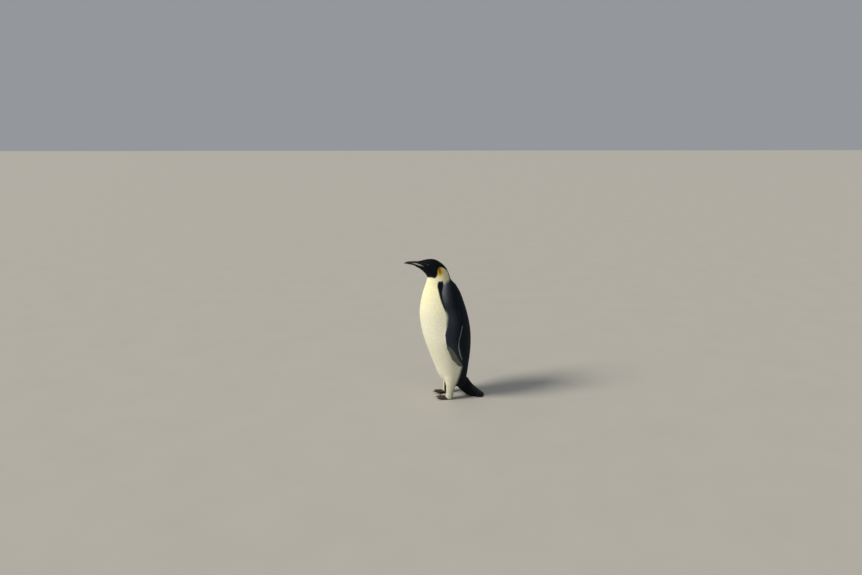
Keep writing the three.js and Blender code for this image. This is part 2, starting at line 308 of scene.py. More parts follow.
along_tail = np.array((
    TAIL_OUT * math.sin(TAIL_SWING), TAIL_OUT * math.cos(TAIL_SWING), -TAIL_DOWN
))
head_share = ramp(up, *HEAD_LIE)[:, None]
lie = head_share * from_bill + (1 - head_share) * downwards
lie = lie + ramp(up, *LEG_LEAN)[:, None] * (LEG_LEANS_BACK * backwards)
sweep = ramp(up, *FLIPPER_SWEEP)[:, None] * (FLIPPER_SWEEPS_BACK * backwards)
lie = np.where(limb[:, None], downwards + sweep, lie)
lie = lie * (1 - tail_share[:, None]) + tail_share[:, None] * along_tail
lie[on_foot] = TOES_LIE
lie -= outwards * np.sum(lie * outwards, axis=1)[:, None]
lie /= np.linalg.norm(lie, axis=1)[:, None] + 1e-9

# Feathers are smallest on the face, and longer over the crown, the body and the thighs.
FACE_FEATHER = 0.0042
CROWN_GAIN = 0.0050
BODY_GAIN = 0.0075
SHANK_FEATHER = 0.0080
THIGH_GAIN = 0.0087
FLIPPER_FEATHER = 0.0056
SHOULDER_GAIN = 0.011
TAIL_FEATHER = 0.020
TAIL_END_LOSS = 0.011
SCUTE_LENGTH = 0.0030
FOOT_CROWDING = 0.35
length = FACE_FEATHER + CROWN_GAIN * ramp(ahead, 0.150, 0.060)
length = length + BODY_GAIN * ramp(up, 0.88, 0.72)
on_leg = SHANK_FEATHER + THIGH_GAIN * ramp(up, 0.02, 0.14)
length = np.where(is_part["leg"], on_leg, length)
length = np.where(limb, FLIPPER_FEATHER + SHOULDER_GAIN * ramp(up, 0.52, 0.64), length)
out_on_tail = left * math.sin(TAIL_SWING) + (places[:, 1] - TAIL_ROOT_Y) * math.cos(TAIL_SWING)
on_tail_top = TAIL_FEATHER - TAIL_END_LOSS * ramp(out_on_tail, 0.08, 0.14)
length = np.where(is_part["tail"], on_tail_top, length)
length = averaged(length, pairs, rounds=5)
foot_gap, _ = cad_distance(("foot_left", "foot_right"))
length = np.minimum(length, SCUTE_LENGTH + FOOT_CROWDING * foot_gap)
length[on_foot] = SCUTE_LENGTH

# A feather shows near its tip, so its colour is read off the outlines where its tip lies.
SHOWN_SHARE = 0.7
shown = places + lie * (SHOWN_SHARE * length)[:, None]
shown_ahead = ANKLE_Y - shown[:, 1]
shown_up = shown[:, 2]

# The white underside with the patches behind the ears, from the throat round to the tail.
UNDERSIDE = [
    (0.300, 0.824), (0.124, 0.827), (0.107, 0.832), (0.080, 0.829), (0.069, 0.842),
    (0.065, 0.864), (0.062, 0.890), (0.051, 0.900), (0.038, 0.899), (0.021, 0.892),
    (0.004, 0.878), (-0.009, 0.862), (-0.014, 0.846), (-0.017, 0.828), (-0.016, 0.812),
    (-0.006, 0.806), (0.012, 0.801), (0.022, 0.793), (0.028, 0.794), (0.030, 0.811),
    (0.060, 0.811), (0.068, 0.794), (0.070, 0.777), (0.066, 0.753), (0.063, 0.729),
    (0.058, 0.704), (0.050, 0.679), (0.042, 0.654), (0.031, 0.628), (0.019, 0.602),
    (0.018, 0.577), (0.024, 0.545), (0.026, 0.515), (-0.035, 0.465), (-0.052, 0.400),
    (-0.068, 0.330), (-0.083, 0.270), (-0.087, 0.238), (-0.069, 0.161), (-0.049, 0.099),
    (-0.034, 0.050), (-0.030, -0.050), (0.300, -0.050),
]
# The black band down the front of the shoulder.
BAND = [
    (0.030, 0.812), (0.061, 0.812), (0.069, 0.794), (0.071, 0.777), (0.067, 0.753),
    (0.064, 0.729), (0.059, 0.704), (0.051, 0.679), (0.043, 0.654), (0.032, 0.628),
    (0.020, 0.602), (0.019, 0.577), (0.014, 0.577), (0.012, 0.602), (0.024, 0.634),
    (0.037, 0.670), (0.044, 0.700), (0.046, 0.735), (0.039, 0.759), (0.031, 0.785),
]
EAR_GOLD = [(0.054, 0.893), (0.049, 0.868)]
SHOULDER_PAINTED_GLEAM = [(0.030, 0.802), (0.037, 0.765), (0.037, 0.735), (0.028, 0.700)]
# The grey patch along the front of the flipper's lower part.
CRESCENT = [
    (0.040, 0.410), (0.040, 0.360), (0.012, 0.315), (-0.010, 0.280), (-0.040, 0.255),
    (-0.085, 0.240), (-0.078, 0.268), (-0.058, 0.297), (-0.040, 0.333), (-0.029, 0.350),
    (-0.018, 0.367), (-0.006, 0.381), (0.010, 0.393), (0.022, 0.402),
]
FLIPPER_FRONT = [
    (0.034, 0.440), (0.033, 0.428), (0.026, 0.385), (0.009, 0.345), (-0.009, 0.308),
    (-0.034, 0.280), (-0.072, 0.255),
]
FLIPPER_REAR = [
    (-0.084, 0.523), (-0.072, 0.475), (-0.060, 0.428), (-0.056, 0.385), (-0.064, 0.345),
    (-0.079, 0.308),
]
FLIPPER_TIP = [(-0.079, 0.308), (-0.085, 0.280), (-0.072, 0.255)]


def distance_to(path, closed=False):
    """How far the shown part of each feather is from a path in the side view."""
    nearest = np.full(len(places), np.inf)
    ends = path[1:] + path[:1] if closed else path[1:]
    for (f0, z0), (f1, z1) in zip(path, ends):
        run, rise = f1 - f0, z1 - z0
        along = ((shown_ahead - f0) * run + (shown_up - z0) * rise) / (run * run + rise * rise)
        along = np.clip(along, 0, 1)
        gap = np.hypot(shown_ahead - f0 - along * run, shown_up - z0 - along * rise)
        nearest = np.minimum(nearest, gap)
    return nearest


def depth_inside(outline):
    """Distance from a closed outline's edge: positive inside it and negative outside."""
    inside = np.zeros(len(places), bool)
    for (f0, z0), (f1, z1) in zip(outline, outline[1:] + outline[:1]):
        if z0 != z1:
            crosses = (z0 > shown_up) != (z1 > shown_up)
            edge = f0 + (shown_up - z0) / (z1 - z0) * (f1 - f0)
            inside ^= crosses & (shown_ahead < edge)
    gap = distance_to(outline, closed=True)
    return np.where(inside, gap, -gap)


# The underside's edge is crisp, but for the foot of the pale nape, which melts into the
# shoulder. A flipper is white inside, within a dark rim.
EDGE = 0.0015
NAPE_MELT = 0.011
FACES_SIDEWAYS = 0.55
RIM_WIDTH = (0.009, 0.013)
TIP_RIM = (0.262, 0.300)
edge = EDGE + NAPE_MELT * ramp(ahead, 0.033, 0.020) * ramp(up, 0.840, 0.825)
light = ramp(depth_inside(UNDERSIDE), -edge, edge)
outer_face = left * outwards[:, 0] > 0
light[limb] = 0
inner_face = limb & (np.abs(outwards[:, 0]) > FACES_SIDEWAYS) & ~outer_face
rim_gap = np.minimum(distance_to(FLIPPER_FRONT), distance_to(FLIPPER_REAR + FLIPPER_TIP))
inner_white = ramp(rim_gap, *RIM_WIDTH) * ramp(up, *TIP_RIM)
light[inner_face] = inner_white[inner_face]
light[is_part["tail"]] = 0

# The legs are black on their inner sides, behind a white strip.
INNER_LEG_EDGE = 0.0095
LEFT_LEG_MIDDLE = -0.007
RIGHT_LEG_MIDDLE = -0.015
leg_middle = np.where(left > 0, LEFT_LEG_MIDDLE, RIGHT_LEG_MIDDLE)
facing_in = -np.sign(left) * outwards[:, 0]
inner_leg = ramp(facing_in, -0.10, 0.25) * ramp(shown_up, 0.105, 0.090) * is_part["leg"]
inner_leg *= ramp(ahead - leg_middle, INNER_LEG_EDGE + EDGE, INNER_LEG_EDGE - EDGE)
light *= 1 - inner_leg

# Head, shoulder band, tail and the backs of the legs are black, and the flippers slightly.
FLIPPER_BLACK = 0.15
band = ramp(depth_inside(BAND), -EDGE, EDGE)
black = np.maximum(band, ramp(shown_up, 0.795, 0.835))
black = np.maximum(black, np.maximum(tail_share, ramp(shown_up, 0.24, 0.13)))
black[limb] = FLIPPER_BLACK
black *= 1 - light
# The white is yellow up the breast, and painted shade greys it down the belly and more so down the
# legs.
BELLY_PAINTED_SHADE = 0.3
LEG_PAINTED_SHADE = 0.7
yellow = ramp(shown_up, 0.50, 0.80)
soiled = BELLY_PAINTED_SHADE * ramp(shown_up, 0.48, 0.30) + LEG_PAINTED_SHADE * ramp(shown_up, 0.22, 0.06)
gold = ramp(distance_to(EAR_GOLD), 0.040, 0.000)
olive = ramp(shown_ahead, 0.046, 0.000) * ramp(shown_up, 0.775, 0.815)
# A painted highlight lies on the slate behind the band, most at the shoulder: a bright core in a
# wider halo.
PAINTED_GLEAM_CORE = 0.68
PAINTED_GLEAM_HALO = 0.32
PAINTED_GLEAM_LOW = 0.3
PAINTED_GLEAM_RISE = 0.7
off_painted_gleam = distance_to(SHOULDER_PAINTED_GLEAM)
gleam = PAINTED_GLEAM_CORE * ramp(off_painted_gleam, 0.032, 0.000) + PAINTED_GLEAM_HALO * ramp(off_painted_gleam, 0.066, 0.000)
gleam *= (PAINTED_GLEAM_LOW + PAINTED_GLEAM_RISE * ramp(shown_up, 0.69, 0.785)) * (1 - band)
gleam[limb] = 0
# The slate is palest along its front edge; painted shade takes it to nearly black down the middle
# of the back.
SHADE_FRONT_HEIGHTS = (0.30, 0.43, 0.56, 0.63, 0.70, 0.76)
SHADE_FRONT_AHEAD = (-0.030, 0.018, 0.004, 0.025, 0.046, 0.049)
shade_front = np.interp(shown_up, SHADE_FRONT_HEIGHTS, SHADE_FRONT_AHEAD)
spine = ramp(shade_front - shown_ahead, 0.010, 0.088)
crescent = ramp(depth_inside(CRESCENT), -0.002, 0.003) * limb * outer_face
crescent *= ramp(distance_to(FLIPPER_FRONT), 0.0015, 0.004)
trailing = ramp(distance_to(FLIPPER_REAR), 0.0070, 0.0045) * limb
bare = averaged(on_foot.astype(float), pairs, rounds=2)

# No feather grows on the eyes or the plates, on hide inside the bill's horn or facing it, on
# the soles, or where the tail's vanes lie. Each pair says where a change begins and ends, but
# for INSIDE_HORN: hide between those depths in the horn is bare.
EYE_MARGIN = (0.0008, 0.0014)
PLATE_MARGIN = (0.0004, 0.0009)
INSIDE_HORN = (0.0005, 0.008)
BILL_BASE = (0.175, 0.180)
FACES_FORWARD = (0.50, 0.65)
SOLE_TURNS = (-0.25, 0.0)
SOLE_HEIGHT = (0.0015, 0.003)
VANES_COVER = (0.080, 0.100)
FACES_UP = (0.25, 0.45)
TAIL_LAST_FEATHERS = (0.148, 0.154)
cover = ramp(cad_distance(EYES)[0], *EYE_MARGIN)
cover *= ramp(cad_distance(PLATES)[0], *PLATE_MARGIN)
horn_gap, off_horn = cad_distance(MANDIBLES)
cover *= off_horn | (horn_gap < INSIDE_HORN[0]) | (horn_gap > INSIDE_HORN[1])
cover *= 1 - ramp(ahead, *BILL_BASE) * ramp(-outwards[:, 1], *FACES_FORWARD)
off_sole = ramp(outwards[:, 2], *SOLE_TURNS) * ramp(up, *SOLE_HEIGHT)
cover[on_foot] = off_sole[on_foot]
under_vanes = ramp(out_on_tail, *VANES_COVER) * ramp(outwards[:, 2], *FACES_UP)
cover *= 1 - is_part["tail"] * under_vanes
cover *= 1 - is_part["tail"] * ramp(out_on_tail, *TAIL_LAST_FEATHERS)

# Each stretch of coat is its own piece. Its map is an unrolling of the hide under it: the
# angle round the middle of that part across, and the way along it upwards.
STRETCHES = [
    "head", "neck", "breast_left", "breast_right", "back_left", "back_right",
    "flipper_left", "flipper_right", "legs", "tail", "feet",
]
MID_HEIGHTS = (0.1, 0.4, 0.6, 0.75, 0.85)
MID_AHEAD = (-0.05, -0.015, 0.015, 0.038, 0.052)
FRONT_HALF = math.radians(88)
round_body = np.arctan2(left, ahead - np.interp(up, MID_HEIGHTS, MID_AHEAD))
stretch = np.full(len(places), STRETCHES.index("neck"))
stretch[is_part["head"]] = STRETCHES.index("head")
for side, sign in zip(SIDES, (1, -1)):
    on_side = left * sign > 0
    front = np.abs(round_body) < FRONT_HALF
    stretch[is_part["trunk"] & on_side & front] = STRETCHES.index(f"breast_{side}")
    stretch[is_part["trunk"] & on_side & ~front] = STRETCHES.index(f"back_{side}")
    stretch[limb & on_side] = STRETCHES.index(f"flipper_{side}")
stretch[is_part["leg"]] = STRETCHES.index("legs")
stretch[is_part["tail"]] = STRETCHES.index("tail")
stretch[is_part["foot"]] = STRETCHES.index("feet")

# Stretches that meet in the open are sown as one ground, so no line shows between them.
GROUNDS = ("body", "head", "flippers", "tail", "feet")
ground_of = np.full(len(places), GROUNDS.index("body"))
for ground, part in zip(GROUNDS[1:], ("head", "flipper", "tail", "foot")):
    ground_of[is_part[part]] = GROUNDS.index(ground)

# Each leg has its own half of the map, and so have a flipper's two faces and the tail's.
HEAD_CENTRE = 0.912
LEG_ASIDE = 0.062
LEG_BEHIND = 0.012
MAP_MARGIN = 0.02
MAP_SPAN = 1 - 2 * MAP_MARGIN
round_head = np.arctan2(left, up - HEAD_CENTRE)
round_leg = np.arctan2(left - np.sign(left) * LEG_ASIDE, ahead + LEG_BEHIND)
round_leg = round_leg / (2 * math.pi) * MAP_SPAN + np.sign(left)
around = round_body.copy()
around[is_part["head"]] = round_head[is_part["head"]]
around[limb] = (ahead + np.where(outer_face, 0.0, 0.4))[limb]
around[is_part["leg"]] = round_leg[is_part["leg"]]
around[on_foot] = left[on_foot]
around[is_part["tail"]] = (left + np.where(outwards[:, 2] > 0, 0.0, 0.2))[is_part["tail"]]
along = up.copy()
along[is_part["head"]] = -ahead[is_part["head"]]
along[on_foot] = ahead[on_foot]
unrolled = np.zeros((len(places), 3))
for i in range(len(STRETCHES)):
    here = stretch == i
    for axis, values in enumerate((around, along)):
        low, high = values[here].min(), values[here].max()
        unrolled[here, axis] = MAP_MARGIN + MAP_SPAN * (values[here] - low) / (high - low)


def store(mesh, name, values, kind="FLOAT", domain="POINT"):
    """Writes a numpy table onto a mesh as a named attribute."""
    field = mesh.attributes.new(name, kind, domain)
    key = "vector" if kind == "FLOAT_VECTOR" else "value"
    field.data.foreach_set(key, np.ascontiguousarray(values).ravel())


MARKINGS = {
    "light": light, "black": black, "yellow": yellow, "soiled": soiled, "gold": gold,
    "olive": olive, "gleam": gleam, "spine": spine, "crescent": crescent, "trailing": trailing,
    "bare": bare,
}
for name, values in MARKINGS.items():
    store(hide_mesh, name, averaged(values, pairs, rounds=1).astype(np.float32))
store(hide_mesh, "length", length.astype(np.float32))
store(hide_mesh, "cover", cover.astype(np.float32))
store(hide_mesh, "lie", lie.astype(np.float32), "FLOAT_VECTOR")
store(hide_mesh, "unrolled", unrolled.astype(np.float32), "FLOAT_VECTOR")
first_corner = read(hide_mesh.polygons, "loop_start", 1, np.int32)
corner_vertex = read(hide_mesh.loops, "vertex_index", 1, np.int32)
face_vertex = corner_vertex[first_corner]
store(hide_mesh, "stretch", stretch[face_vertex].astype(np.int32), "INT", "FACE")
store(hide_mesh, "ground", ground_of[face_vertex].astype(np.int32), "INT", "FACE")

# ---- Plumage colours ------------------------------------------------------------------------
# Feather is keratin in fine barbs, and bare skin is a dark leather. One graph of colours, mixed
# by the markings, serves both the hide and the feathers that grow out of it.


def linear(code):
    """An sRGB hex colour as linear red, green, blue and alpha."""
    channels = [int(code[i:i + 2], 16) / 255 for i in (1, 3, 5)]
    curve = [c / 12.92 if c <= 0.04045 else ((c + 0.055) / 1.055) ** 2.4 for c in channels]
    return (*curve, 1)


def add(tree, kind, inputs=None, **settings):
    """Adds a node; each input takes a value, a hex colour, a socket or a node's first output."""
    node = tree.nodes.new(kind)
    for name, value in settings.items():
        setattr(node, name, value)
    for key, value in (inputs or {}).items():
        if isinstance(value, bpy.types.Node):
            value = value.outputs[0]
        if isinstance(value, bpy.types.NodeSocket):
            tree.links.new(value, node.inputs[key])
        elif str(value).startswith("#"):
            node.inputs[key].default_value = linear(value)
        else:
            node.inputs[key].default_value = value
    return node


def layered(tree, colour, *layers):
    """A base colour with others laid over it in turn, each by its share from 0 to 1."""
    for share, over in layers:
        inputs = {0: share, 6: colour, 7: over}
        colour = add(tree, "ShaderNodeMix", inputs, data_type="RGBA").outputs[2]
    return colour


def new_material(name):
    """A material with an empty graph."""
    material = bpy.data.materials.new(name)
    material.use_nodes = True
    material.node_tree.nodes.clear()
    return material, material.node_tree


def shade(tree, inputs, relief=None):
    """Ends a graph in its shader; relief is what lifts the surface, how strongly and how far."""
    if relief:
        height, strength, lift = relief
        bump = {"Height": height, "Strength": strength, "Distance": lift}
        inputs["Normal"] = add(tree, "ShaderNodeBump", bump)
    shader = add(tree, "ShaderNodeBsdfPrincipled", inputs)
    add(tree, "ShaderNodeOutputMaterial", {"Surface": shader})


def marks_apart(millimetres):
    """The scale of a texture whose marks are this far apart."""
    return round(1000 / millimetres)


def plumage(tree):
    """The coat's colour at its root: white, yellow, gold, slate and black by the markings."""
    mark = {}
    for name in MARKINGS:
        mark[name] = add(tree, "ShaderNodeAttribute", attribute_name=name).outputs["Fac"]
    place = add(tree, "ShaderNodeTexCoord").outputs["Object"]
    # Old and new feathers stand in patches a few centimetres wide, a shade apart.
    patches = add(tree, "ShaderNodeTexNoise",
                  {"Vector": place, "Scale": marks_apart(45), "Detail": 3.0})
    # The grey patch along the flipper's front edge is grizzled in spots about a centimetre apart.
    grizzle = add(tree, "ShaderNodeTexNoise",
                  {"Vector": place, "Scale": marks_apart(11.1), "Detail": 2.0})
    halo = add(tree, "ShaderNodeMapRange", {"Value": mark["gold"], "From Max": 0.65})
    core = add(tree, "ShaderNodeMapRange", {"Value": mark["gold"], "From Min": 0.76})
    # The grey-cream laid on the lower belly and legs is painted shade.
    pale = layered(
        tree, "#f3f1da",
        (mark["yellow"], "#fff9cc"), (mark["soiled"], "#d4d2b9"), (mark["olive"], "#dad8b1"),
        (halo, "#ecc24e"), (core, "#94700c"),
    )
    # This near black is the slate in painted shade, laid on down the middle of the back.
    slate_in_shade = layered(tree, "#05090d", (patches, "#0c141b"))
    crescent_grey = layered(tree, "#43443c", (grizzle, "#78776a"))
    # The pale grey laid on the slate behind the band is a painted highlight.
    coat = layered(
        tree, "#1f262e",
        (patches, "#30373f"), (mark["spine"], slate_in_shade), (mark["gleam"], "#8a9097"),
        (mark["black"], "#080c11"), (mark["light"], pale), (mark["crescent"], crescent_grey),
        (mark["trailing"], "#a9aeb0"),
    )
    return coat, mark


# Feather vanes: keratin combed into barbs. The eye gets a dull, faintly silky cloth in which
# each feather is told from the next by its tone, its paler tip and the line of its shaft.
feather_finish, tree = new_material("feather_vanes")
coat_colour, mark = plumage(tree)
vane = add(tree, "ShaderNodeAttribute", attribute_name="vane").outputs["Vector"]
across_along = add(tree, "ShaderNodeSeparateXYZ", {"Vector": vane})
tip = add(tree, "ShaderNodeMapRange",
          {"Value": across_along.outputs["Y"], "From Min": 0.55, "To Max": 0.32})
# Feather tips go darker too where painted shade lies down the back.
tip_colour = layered(tree, "#4b555e", (mark["spine"], "#25323d"))
tipped = layered(tree, coat_colour, (tip, tip_colour), (mark["light"], coat_colour),
                 (mark["black"], coat_colour))
tint = add(tree, "ShaderNodeAttribute", attribute_name="tint").outputs["Fac"]
tone = add(tree, "ShaderNodeMapRange", {"Value": tint, "To Min": 0.90, "To Max": 1.08})
toned = add(tree, "ShaderNodeVectorMath", {0: tipped, "Scale": tone}, operation="SCALE")
off_shaft = add(tree, "ShaderNodeMath", {0: across_along, 1: 0.5}, operation="SUBTRACT")
off_shaft = add(tree, "ShaderNodeMath", {0: off_shaft}, operation="ABSOLUTE")
# Barbs leave the shaft towards the tip. Real ones are 0.1 mm apart, too fine to show, so they
# are drawn 26 to a feather, some 0.6 mm apart.
slant = add(tree, "ShaderNodeMath", {0: off_shaft, 1: -0.9, 2: across_along.outputs["Y"]},
            operation="MULTIPLY_ADD")
barb_lines = add(tree, "ShaderNodeCombineXYZ", {"X": slant, "Y": tint})
barbs = add(tree, "ShaderNodeTexNoise", {"Vector": barb_lines, "Scale": 26.0})
barb_tone = add(tree, "ShaderNodeMapRange",
                {"Value": barbs, "From Min": 0.3, "From Max": 0.7, "To Min": 0.88, "To Max": 1.12})
shaft_tone = add(tree, "ShaderNodeMapRange",
                 {"Value": off_shaft, "From Max": 0.07, "To Min": 0.80})
vane_tone = add(tree, "ShaderNodeMath", {0: barb_tone, 1: shaft_tone}, operation="MULTIPLY")
drawn = add(tree, "ShaderNodeVectorMath", {0: toned, "Scale": vane_tone}, operation="SCALE")
shade(tree, {"Base Color": drawn, "Roughness": 0.62, "Specular IOR Level": 0.10,
             "Sheen Weight": 0.02, "Sheen Roughness": 0.5}, relief=(vane_tone, 0.25, 0.0003))

# Hide: skin, which under the feathers takes their colours, so that no gap shows. On the feet
# it is bare, and the eye gets dull dark leather with pebbles some 2 mm across.
hide_finish, tree = new_material("hide_and_web")
coat_colour, mark = plumage(tree)
place = add(tree, "ShaderNodeTexCoord").outputs["Object"]
pebbles = add(tree, "ShaderNodeTexVoronoi", {"Vector": place, "Scale": marks_apart(2.38)})
leather = layered(tree, "#2d2520", (pebbles, "#17120f"))
shade(tree, {"Base Color": layered(tree, coat_colour, (mark["bare"], leather)),
             "Roughness": 0.7, "Specular IOR Level": 0.3}, relief=(pebbles, 0.35, 0.0006))
hide_mesh.materials.clear()
hide_mesh.materials.append(hide_finish)

# Scutes: thick plates of keratin. The eye gets horny browns, each plate a little off the next.
scute_finish, tree = new_material("foot_scale_keratin")
tint = add(tree, "ShaderNodeAttribute", attribute_name="tint").outputs["Fac"]
shade(tree, {"Base Color": layered(tree, "#30261e", (tint, "#574839")), "Roughness": 0.5})

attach(hide, "root")
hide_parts(*FLESH)

# ---- Coat -----------------------------------------------------------------------------------
# Thousands of single feathers, each rooted in the hide and lying over the next like tiles.
# A feather is a thin closed blade, keeled along its shaft and cupped towards the body.


def feather_blade(name, rows):
    """A blade one unit long on +Y; rows are (place along it, half width, height of the shaft)."""
    corners = [(0.0, 0.0, 0.0)]
    for along, half, height in rows:
        corners += [(-half, along, height - CUPPING * half), (0.0, along, height)]
        corners += [(half, along, height - CUPPING * half)]
    corners.append((0.0, 1.0, rows[-1][2] * 0.5))
    end = len(corners) - 1
    faces = [(0, 2, 1), (0, 3, 2)]
    for row in range(len(rows) - 1):
        a, b = 1 + 3 * row, 4 + 3 * row
        faces += [(a, a + 1, b + 1), (a, b + 1, b), (a + 1, a + 2, b + 2), (a + 1, b + 2, b + 1)]
    last = end - 3
    faces += [(last, last + 1, end), (last + 1, last + 2, end)]
    lefts = [1 + 3 * row for row in range(len(rows))]
    rights = [3 + 3 * row for row in range(len(rows))]
    for row in range(len(rows) - 1):
        faces.append((lefts[row], lefts[row + 1], rights[row + 1]))
        faces.append((lefts[row], rights[row + 1], rights[row]))
    faces += [(0, lefts[0], rights[0]), (lefts[-1], end, rights[-1])]
    mesh = bpy.data.meshes.new(name)
    mesh.from_pydata(corners, [], faces)
    mesh.polygons.foreach_set("use_smooth", np.ones(len(faces), bool))
    rim = [0, *lefts, end, *reversed(rights)]
    rim_edges = {frozenset(pair) for pair in zip(rim, rim[1:] + rim[:1])}
    sharp = [frozenset(edge.vertices) in rim_edges for edge in mesh.edges]
    store(mesh, "sharp_edge", np.array(sharp), "BOOLEAN", "EDGE")
    widest = max(half for _, half, _ in rows)
    spread = np.array([(0.5 + x / (2 * widest), y, 0.0) for x, y, _ in corners], np.float32)
    store(mesh, "vane", spread, "FLOAT_VECTOR")
    return bpy.data.objects.new(name, mesh)


CUPPING = 0.10
broad_feather = feather_blade(
    "broad_feather", [(0.30, 0.34, 0.018), (0.70, 0.50, 0.024), (0.91, 0.34, 0.016)]
)
small_feather = feather_blade("small_feather", [(0.35, 0.38, 0.022), (0.78, 0.46, 0.022)])
scute = feather_blade("scute", [(0.12, 0.36, 0.12), (0.50, 0.50, 0.20), (0.88, 0.36, 0.12)])

PATCH = 0.003
FLOOR_CLEARANCE = 0.0006
ROOTS_SEED = 7
TINT_SEED = 11
STRAY_SEED = 13
SIZE_SEED = 17
coat_tree = bpy.data.node_groups.new("coat", "GeometryNodeTree")
sockets = coat_tree.interface
for name, kind in (
    ("Hide", "Geometry"), ("Feather", "Object"), ("Finish", "Material"), ("Ground", "Int"),
    ("Stretch", "Int"), ("Spacing", "Float"), ("Slimness", "Float"), ("Lift", "Float"),
    ("Stray", "Float"),
):
    sockets.new_socket(name, in_out="INPUT", socket_type=f"NodeSocket{kind}")
sockets.new_socket("Coat", in_out="OUTPUT", socket_type="NodeSocketGeometry")
given = add(coat_tree, "NodeGroupInput").outputs
stored = {}
for name, kind in (
    ("ground", "INT"), ("stretch", "INT"), ("cover", "FLOAT"), ("length", "FLOAT"),
    ("lie", "FLOAT_VECTOR"), ("vane", "FLOAT_VECTOR"), ("unrolled", "FLOAT_VECTOR"),
):
    stored[name] = add(coat_tree, "GeometryNodeInputNamedAttribute", {"Name": name},
                       data_type=kind)


def only(geometry, name, wanted, domain):
    """The part of the geometry where a whole-number attribute has the wanted value."""
    same = add(coat_tree, "FunctionNodeCompare", {2: stored[name], 3: wanted},
               data_type="INT", operation="EQUAL")
    return add(coat_tree, "GeometryNodeSeparateGeometry",
               {"Geometry": geometry, "Selection": same}, domain=domain)


# The roots are sown a spacing apart, four tried for each square of it.
per_area = add(coat_tree, "ShaderNodeMath", {0: given["Spacing"], 1: -2.0}, operation="POWER")
crowd = add(coat_tree, "ShaderNodeMath", {0: per_area, 1: 4.0}, operation="MULTIPLY")
roots = add(
    coat_tree, "GeometryNodeDistributePointsOnFaces",
    {"Mesh": only(given["Hide"], "ground", given["Ground"], "FACE"),
     "Distance Min": given["Spacing"], "Density Max": crowd,
     "Density Factor": stored["cover"], "Seed": ROOTS_SEED},
    distribute_method="POISSON",
)
tints = add(coat_tree, "FunctionNodeRandomValue", {"Min": 0.0, "Max": 1.0, "Seed": TINT_SEED})
tinted = add(
    coat_tree, "GeometryNodeStoreNamedAttribute",
    {"Geometry": roots, "Name": "tint", "Value": tints.outputs[1]},
    data_type="FLOAT", domain="POINT",
)
# Each feather lies along the hide, its tip lifted, and strays a little from its neighbours.
facing = add(
    coat_tree, "FunctionNodeAxesToRotation",
    {"Primary Axis": roots.outputs["Normal"], "Secondary Axis": stored["lie"]},
    primary_axis="Z", secondary_axis="Y",
)
stray = add(coat_tree, "FunctionNodeRandomValue",
            {"Min": (-0.25, -0.4, -1.0), "Max": (0.25, 0.4, 1.0), "Seed": STRAY_SEED},
            data_type="FLOAT_VECTOR")
strayed = add(coat_tree, "ShaderNodeVectorMath", {0: stray, "Scale": given["Stray"]},
              operation="SCALE")
lift = add(coat_tree, "ShaderNodeCombineXYZ", {"X": given["Lift"]})
turn = add(coat_tree, "ShaderNodeVectorMath", {0: strayed, 1: lift}, operation="ADD")
turned = add(coat_tree, "FunctionNodeEulerToRotation", {0: turn})
rotation = add(coat_tree, "FunctionNodeRotateRotation",
               {"Rotation": facing, "Rotate By": turned}, rotation_space="LOCAL")
shape = add(coat_tree, "ShaderNodeCombineXYZ", {"X": given["Slimness"], "Y": 1.0, "Z": 1.0})
vary = add(coat_tree, "FunctionNodeRandomValue",
           {"Min": (0.85, 0.85, 0.9), "Max": (1.15, 1.15, 1.1), "Seed": SIZE_SEED},
           data_type="FLOAT_VECTOR")
varied = add(coat_tree, "ShaderNodeVectorMath", {0: shape, 1: vary}, operation="MULTIPLY")
size = add(coat_tree, "ShaderNodeVectorMath", {0: varied, "Scale": stored["length"]},
           operation="SCALE")
feather = add(coat_tree, "GeometryNodeObjectInfo", {"Object": given["Feather"]})
planted = add(
    coat_tree, "GeometryNodeInstanceOnPoints",
    {"Points": only(tinted, "stretch", given["Stretch"], "POINT"),
     "Instance": feather.outputs["Geometry"], "Rotation": rotation, "Scale": size},
)
solid_coat = add(coat_tree, "GeometryNodeRealizeInstances", {"Geometry": planted})
# On the map a feather is a small patch round the place where it is rooted.
centred = add(coat_tree, "ShaderNodeVectorMath", {0: stored["vane"], 1: (0.5, 0.5, 0.0)},
              operation="SUBTRACT")
patch = add(coat_tree, "ShaderNodeVectorMath", {0: centred, "Scale": PATCH}, operation="SCALE")
map_place = add(coat_tree, "ShaderNodeVectorMath", {0: stored["unrolled"], 1: patch},
                operation="ADD")
mapped = add(
    coat_tree, "GeometryNodeStoreNamedAttribute",
    {"Geometry": solid_coat, "Name": "OFBake", "Value": map_place},
    data_type="FLOAT2", domain="CORNER",
)
finished = add(coat_tree, "GeometryNodeSetMaterial",
               {"Geometry": mapped, "Material": given["Finish"]})
add(coat_tree, "NodeGroupOutput", {"Coat": finished})
socket_of = {item.name: item.identifier for item in sockets.items_tree}

# Ground: blade, spacing, width against length, lift of the tip in degrees, stray in radians.
SOWING = {
    "body": (broad_feather, 0.0026, 0.33, 4.5, 0.07),
    "head": (small_feather, 0.0013, 0.33, 5, 0.10),
    "flippers": (small_feather, 0.0022, 0.50, 3.5, 0.04),
    "tail": (broad_feather, 0.0028, 0.34, 2.5, 0.05),
    "feet": (scute, 0.0021, 0.85, 2, 0.20),
}
